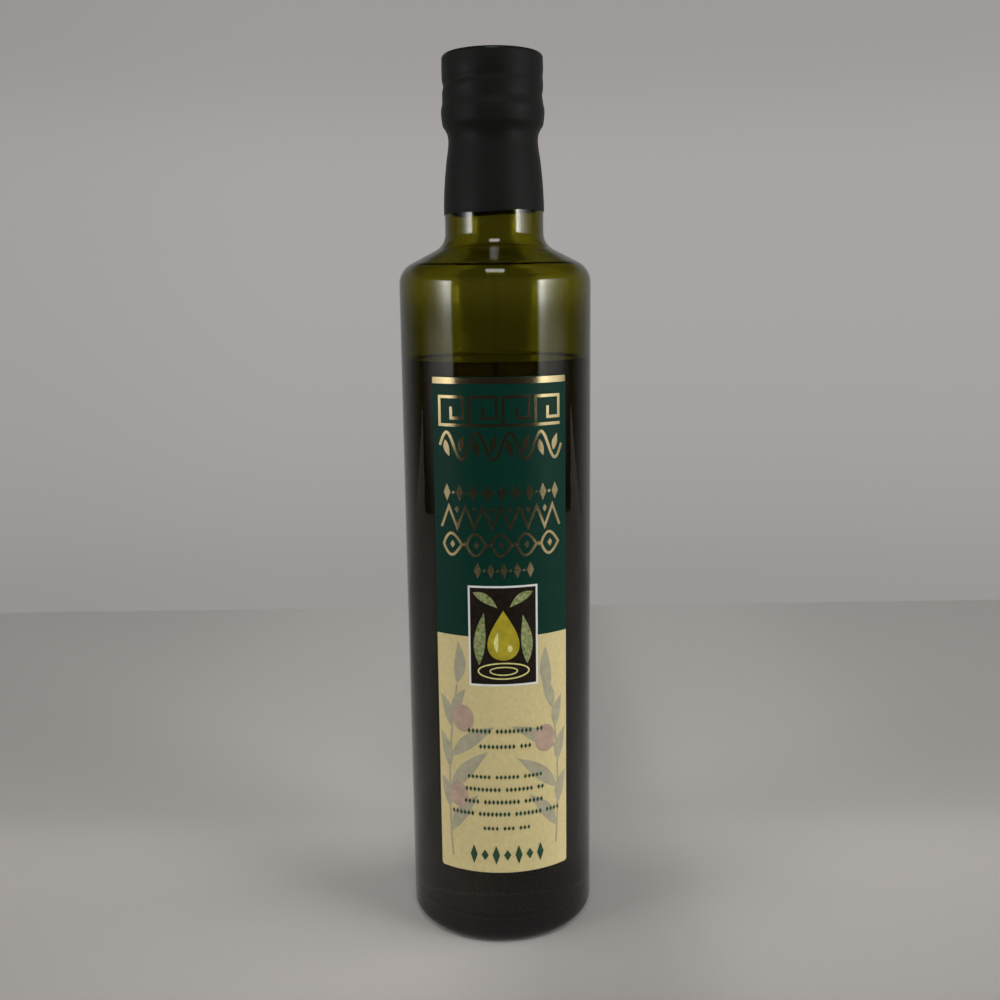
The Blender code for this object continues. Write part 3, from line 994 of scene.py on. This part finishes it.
class BOTTLE_OT_sprig(bpy.types.Operator):
    """Print the pale leafy sprigs up both sides of the cream field"""

    bl_idname = "olive_bottle.sprig"
    bl_label = "Pale sprigs"

    def execute(self, context):
        label = context.scene.bottle_label
        left, right = label_edges(label)
        faded = printed_paper("faded grey print on coated paper", label.faded_leaf, 0.42, 0.05, patch=2.5)
        mauve = printed_paper("faded mauve print on coated paper", label.faded_berry, 0.42, 0.07, patch=3.5)
        # Each sprig is its stem's start, turn and end, then each leaf's place on it, length and spread
        sprigs = (
            ((-17.0, 30.5), (-19.5, 62.0), (-14.4, 90.0), (
                (4, 17.0, -38.0), (8, 12.0, 24.0), (11, 20.0, -42.0), (15, 13.0, 22.0),
                (17, 19.0, -50.0), (22, 12.0, 26.0), (24, 11.0, -18.0), (30, 14.5, 8.0),
            )),
            ((19.0, 34.0), (21.5, 64.0), (16.8, 87.0), (
                (3, 16.0, 42.0), (7, 12.0, -20.0), (10, 19.0, 50.0), (15, 12.0, -18.0),
                (18, 18.0, 56.0), (22, 11.0, -20.0), (26, 12.0, 12.0), (30, 15.5, -6.0),
            )),
        )
        stems = []
        number = 0
        for start, turn, end, leaves in sprigs:
            stem = curved_stem(start, turn, end)
            stems += ribbon(stem, 0.7)
            for place, reach, spread in leaves:
                way = (stem[place] - stem[place - 1]).normalized()
                lean = Matrix.Rotation(math.radians(spread), 2) @ way
                base = stem[place] + lean * 0.4
                tip = base + lean * reach
                tip.x = max(left + 0.6, min(right - 0.6, tip.x))
                number += 1
                leaf = lens(base, tip, 2.0 + reach * 0.14, -math.copysign(0.9, spread))
                add_print(f"sprig_leaf_{number:02d}", [leaf], number % 2, faded)
        add_print("sprig_stems", stems, 2, faded)
        berries = [
            ellipse((-12.4, 79.0), 3.6, 4.6),
            ellipse((-14.4, 52.5), 3.4, 4.2),
            ellipse((15.0, 71.5), 3.7, 4.7),
        ]
        add_print("sprig_berries", berries, 3, mauve)
        return {"FINISHED"}


def mark_row(left, right, low, high, draw):
    """Return a row of small beads in groups of uneven length."""
    outlines = []
    x = left + 0.5
    middle = (low + high) / 2.0
    while x < right:
        for _ in range(draw.randint(3, 9)):
            if x < right:
                outlines.append(lozenge((x, middle), 0.52, (high - low) * 0.27))
            x += 1.35
        x += 1.2
    return outlines


class BOTTLE_OT_small_print(bpy.types.Operator):
    """Print the rows of small plain marks on the cream field"""

    bl_idname = "olive_bottle.small_print"
    bl_label = "Small marks"

    def execute(self, context):
        label = context.scene.bottle_label
        ink = printed_paper("dark green ink on coated paper", label.ink, 0.4, 0.1)
        rows = (
            (-10.9, 14.0, 73.3, 77.0),
            (-7.1, 10.0, 68.2, 71.6),
            (-11.2, 13.5, 57.9, 61.0),
            (-12.0, 13.9, 53.4, 56.8),
            (-12.4, 14.6, 49.0, 52.6),
            (-16.9, 20.4, 44.8, 48.4),
            (-6.1, 9.4, 40.1, 43.2),
        )
        draw = random.Random(11)
        outlines = []
        for row in rows:
            outlines += mark_row(*row, draw)
        add_print("small_marks", outlines, 4, ink)
        half_heights = (3.3, 1.9) * 3 + (3.3,)
        row = [lozenge((-9.4 + 3.73 * index, 32.3), 1.2, half) for index, half in enumerate(half_heights)]
        add_print("foot_ornament", row, 4, ink)
        return {"FINISHED"}


def stage_object(name, mesh, material):
    """Put a piece of the studio in the scene."""
    mesh.materials.append(material)
    thing = bpy.data.objects.new(name, mesh)
    bpy.context.scene.collection.objects.link(thing)
    return thing


def flat_mesh(name, corners):
    """Return a mesh of one face."""
    mesh = bpy.data.meshes.new(name)
    mesh.from_pydata(corners, [], [range(len(corners))])
    return mesh


def table_board(studio):
    """Painted board: matt and pale, with a faint grain that breaks up its flat tone, and a painted pool of
    light and painted shade round the bottle.
    """
    material, tree, spot = new_material("painted board")
    grain = add_node(tree, "TexNoise", {"Scale": 1.0 / (2.0 * MM), "Detail": 4.0}, {"Vector": spot})
    tone = add_node(
        tree,
        "MixRGB",
        {"Color1": opaque([c * 0.97 for c in studio.table_colour]), "Color2": opaque(studio.table_colour)},
        {"Fac": grain},
    )
    # The board's colour carries painted shade: a little darker to its sides and towards its front, with a
    # painted shadow just right of the bottle
    axes = add_node(tree, "SeparateXYZ", None, {"Vector": spot})
    across = drawn_curve(tree, axes.outputs["X"], TABLE_ACROSS)
    lengthways = drawn_curve(tree, axes.outputs["Y"], TABLE_ALONG)
    shade = add_node(tree, "Math", None, {0: across, 1: lengthways}, operation="MULTIPLY")
    sources = {0: tone, "Scale": shade}
    # The grain's tone scaled by the painted light and shade
    painted_pool_and_shade = add_node(tree, "VectorMath", None, sources, operation="SCALE")
    surface = add_node(tree, "BsdfPrincipled", {"Roughness": 0.8}, {"Base Color": painted_pool_and_shade})
    add_node(tree, "OutputMaterial", None, {"Surface": surface})
    return material


def lit_cloth(name, strength, fade):
    """Lit white cloth: bright near its front edge, fading to the back, and dim below its lamp."""
    material, tree, spot = new_material(name)
    axes = add_node(tree, "SeparateXYZ", None, {"Vector": spot})
    along = drawn_curve(tree, axes.outputs["Y"], fade)
    up = drawn_curve(tree, axes.outputs["Z"], PANEL_RISE)
    both = add_node(tree, "Math", None, {0: along, 1: up}, operation="MULTIPLY")
    wide = drawn_curve(tree, axes.outputs["Y"], LOW_GLOW_FADE)
    low = drawn_curve(tree, axes.outputs["Z"], LOW_GLOW)
    under = add_node(tree, "Math", None, {0: wide, 1: low}, operation="MULTIPLY")
    total = add_node(tree, "Math", None, {0: both, 1: under}, operation="ADD")
    bright = add_node(tree, "Math", {1: strength}, {0: total}, operation="MULTIPLY")
    glow = add_node(tree, "Emission", None, {"Strength": bright})
    add_node(tree, "OutputMaterial", None, {"Surface": glow})
    return material


def backdrop_world(studio):
    """Pale backdrop all round. Mirror reflections see its side behind the camera darker."""
    world = bpy.data.worlds.new("studio")
    world.use_nodes = True
    tree = world.node_tree
    tree.nodes.clear()
    place = add_node(tree, "TexCoord")
    axes = add_node(tree, "SeparateXYZ", None, {"Vector": place.outputs["Generated"]})
    rays = add_node(tree, "LightPath")
    height = drawn_curve(tree, axes.outputs["Z"], BACKDROP_RISE)
    left_side = add_node(
        tree,
        "MapRange",
        {"From Min": -0.42, "From Max": -0.15, "To Min": 0.93, "To Max": 1.0},
        {"Value": axes.outputs["X"]},
        interpolation_type="SMOOTHSTEP",
    )
    seen = add_node(tree, "Math", None, {0: height, 1: left_side}, operation="MULTIPLY")
    # What shows through the glass is dimmer straight behind the bottle and brighter to its sides
    through = drawn_curve(tree, axes.outputs["X"], THROUGH_GLASS)
    gain = add_node(tree, "Math", {1: THROUGH_GLASS_GAIN}, {0: through}, operation="MULTIPLY")
    behind_glass = add_node(tree, "Math", None, {0: seen, 1: gain}, operation="MULTIPLY")
    backdrop_strength = add_node(
        tree, "Mix", None, {0: rays.outputs["Is Camera Ray"], 2: behind_glass, 3: seen}
    )
    shown = add_node(tree, "Background", {"Color": opaque(studio.backdrop)}, {"Strength": backdrop_strength})
    mirrored = add_node(
        tree,
        "MapRange",
        {"From Min": 0.1, "From Max": 0.8, "To Min": studio.dark_room, "To Max": studio.lit_room},
        {"Value": axes.outputs["Y"]},
        interpolation_type="SMOOTHSTEP",
    )
    lower_room = drawn_curve(tree, axes.outputs["Z"], DARK_CEILING)
    room = add_node(tree, "Math", None, {0: mirrored, 1: lower_room}, operation="MULTIPLY")
    reflected = add_node(tree, "Background", None, {"Strength": room})
    direct = add_node(
        tree,
        "Math",
        None,
        {0: rays.outputs["Is Camera Ray"], 1: rays.outputs["Is Transmission Ray"]},
        operation="MAXIMUM",
    )
    both = add_node(tree, "MixShader", None, {0: direct, 1: reflected, 2: shown})
    add_node(tree, "OutputWorld", None, {"Surface": both})
    return world


def add_lamp(name, place, target, size, energy):
    """Hang a square area lamp that points at a target."""
    lamp = bpy.data.lights.new(name, "AREA")
    lamp.size = size
    lamp.energy = energy
    holder = bpy.data.objects.new(name, lamp)
    holder.location = place
    holder.rotation_euler = (Vector(target) - Vector(place)).to_track_quat("-Z", "Y").to_euler()
    holder.visible_camera = False
    bpy.context.scene.collection.objects.link(holder)
    return holder


def aim_camera(studio):
    """Stand the camera where the photograph was taken from."""
    yaw, pitch, roll = CAMERA_YAW, CAMERA_PITCH, CAMERA_ROLL
    forward = Vector((math.sin(yaw) * math.cos(pitch), math.cos(yaw) * math.cos(pitch), -math.sin(pitch)))
    level = Vector((math.cos(yaw), -math.sin(yaw), 0.0))
    upright = level.cross(forward)
    right = math.cos(roll) * level + math.sin(roll) * upright
    up = math.cos(roll) * upright - math.sin(roll) * level
    lens_data = bpy.data.cameras.new("camera")
    lens_data.lens = CAMERA_LENS
    lens_data.sensor_width = CAMERA_SENSOR
    lens_data.clip_start = 0.01
    camera = bpy.data.objects.new("camera", lens_data)
    camera.matrix_world = Matrix((right, up, -forward)).transposed().to_4x4()
    camera.location = (0.0, -studio.camera_distance, studio.camera_height)
    bpy.context.scene.collection.objects.link(camera)
    bpy.context.scene.camera = camera


class BOTTLE_OT_stage(bpy.types.Operator):
    """Set up the table, the backdrop, the soft panels, the lamps and the camera"""

    bl_idname = "olive_bottle.stage"
    bl_label = "Studio"

    def execute(self, context):
        scene = context.scene
        studio = scene.bottle_studio
        reach, front_edge, rear_edge = TABLE_REACH, -studio.table_front, studio.table_edge
        table = flat_mesh(
            "table",
            [(-reach, front_edge, 0), (reach, front_edge, 0), (reach, rear_edge, 0), (-reach, rear_edge, 0)],
        )
        stage_object("table", table, table_board(studio))
        top = PANEL_HEIGHT
        for name, side, fade in (("left_panel", -1, LEFT_FADE), ("right_panel", 1, RIGHT_FADE)):
            x, front, back = side * studio.panel_distance, fade[0][0], fade[-1][0]
            mesh = flat_mesh(name, [(x, front, 0.0), (x, back, 0.0), (x, back, top), (x, front, top)])
            panel = stage_object(name, mesh, lit_cloth(name, studio.panel_light, fade))
            panel.visible_camera = False
            panel.visible_shadow = False
        add_lamp("soft_box", SOFT_BOX_PLACE, SOFT_BOX_TARGET, SOFT_BOX_SIZE, studio.soft_box)
        for name, (side, share) in FILL_SHARES.items():
            place = (side * FILL_ASIDE, FILL_FRONT, FILL_HEIGHT)
            fill = add_lamp(name, place, FILL_TARGET, FILL_SIZE, studio.side_fill * share)
            fill.visible_glossy = False
            fill.visible_transmission = False
        scene.world = backdrop_world(studio)
        scene.view_settings.view_transform = "Standard"
        scene.cycles.caustics_reflective = False
        scene.cycles.caustics_refractive = False
        scene.cycles.max_bounces = 16
        scene.cycles.transmission_bounces = 16
        scene.cycles.glossy_bounces = 6
        aim_camera(studio)
        return {"FINISHED"}


OPERATORS = (
    BOTTLE_OT_glass,
    BOTTLE_OT_oil,
    BOTTLE_OT_sleeve,
    BOTTLE_OT_label,
    BOTTLE_OT_gold,
    BOTTLE_OT_picture,
    BOTTLE_OT_sprig,
    BOTTLE_OT_small_print,
    BOTTLE_OT_stage,
)
SETTINGS = {
    "bottle_glass": GlassSettings,
    "bottle_sleeve": SleeveSettings,
    "bottle_label": LabelSettings,
    "bottle_studio": StudioSettings,
}


class BOTTLE_PT_panel(bpy.types.Panel):
    """Sidebar panel with the bottle's steps and settings"""

    bl_label = "Olive oil bottle"
    bl_idname = "BOTTLE_PT_panel"
    bl_space_type = "VIEW_3D"
    bl_region_type = "UI"
    bl_category = "Bottle"

    def draw(self, context):
        for kind in OPERATORS:
            self.layout.operator(kind.bl_idname)
        for holder in SETTINGS:
            box = self.layout.box()
            group = getattr(context.scene, holder)
            for key in group.bl_rna.properties.keys():
                if key not in {"rna_type", "name"}:
                    box.prop(group, key)


def register():
    """Register the settings, the operators and the panel."""
    for holder, group in SETTINGS.items():
        bpy.utils.register_class(group)
        setattr(bpy.types.Scene, holder, PointerProperty(type=group))
    for kind in (*OPERATORS, BOTTLE_PT_panel):
        bpy.utils.register_class(kind)


def unregister():
    """Remove the panel, the operators and the settings."""
    for kind in (BOTTLE_PT_panel, *reversed(OPERATORS)):
        bpy.utils.unregister_class(kind)
    for holder, group in SETTINGS.items():
        delattr(bpy.types.Scene, holder)
        bpy.utils.unregister_class(group)


def main():
    """Make the whole bottle and its studio."""
    register()
    bpy.ops.olive_bottle.glass()
    bpy.ops.olive_bottle.oil()
    bpy.ops.olive_bottle.sleeve()
    bpy.ops.olive_bottle.label()
    bpy.ops.olive_bottle.gold()
    bpy.ops.olive_bottle.picture()
    bpy.ops.olive_bottle.sprig()
    bpy.ops.olive_bottle.small_print()
    bpy.ops.olive_bottle.stage()


if __name__ == "__main__":
    main()
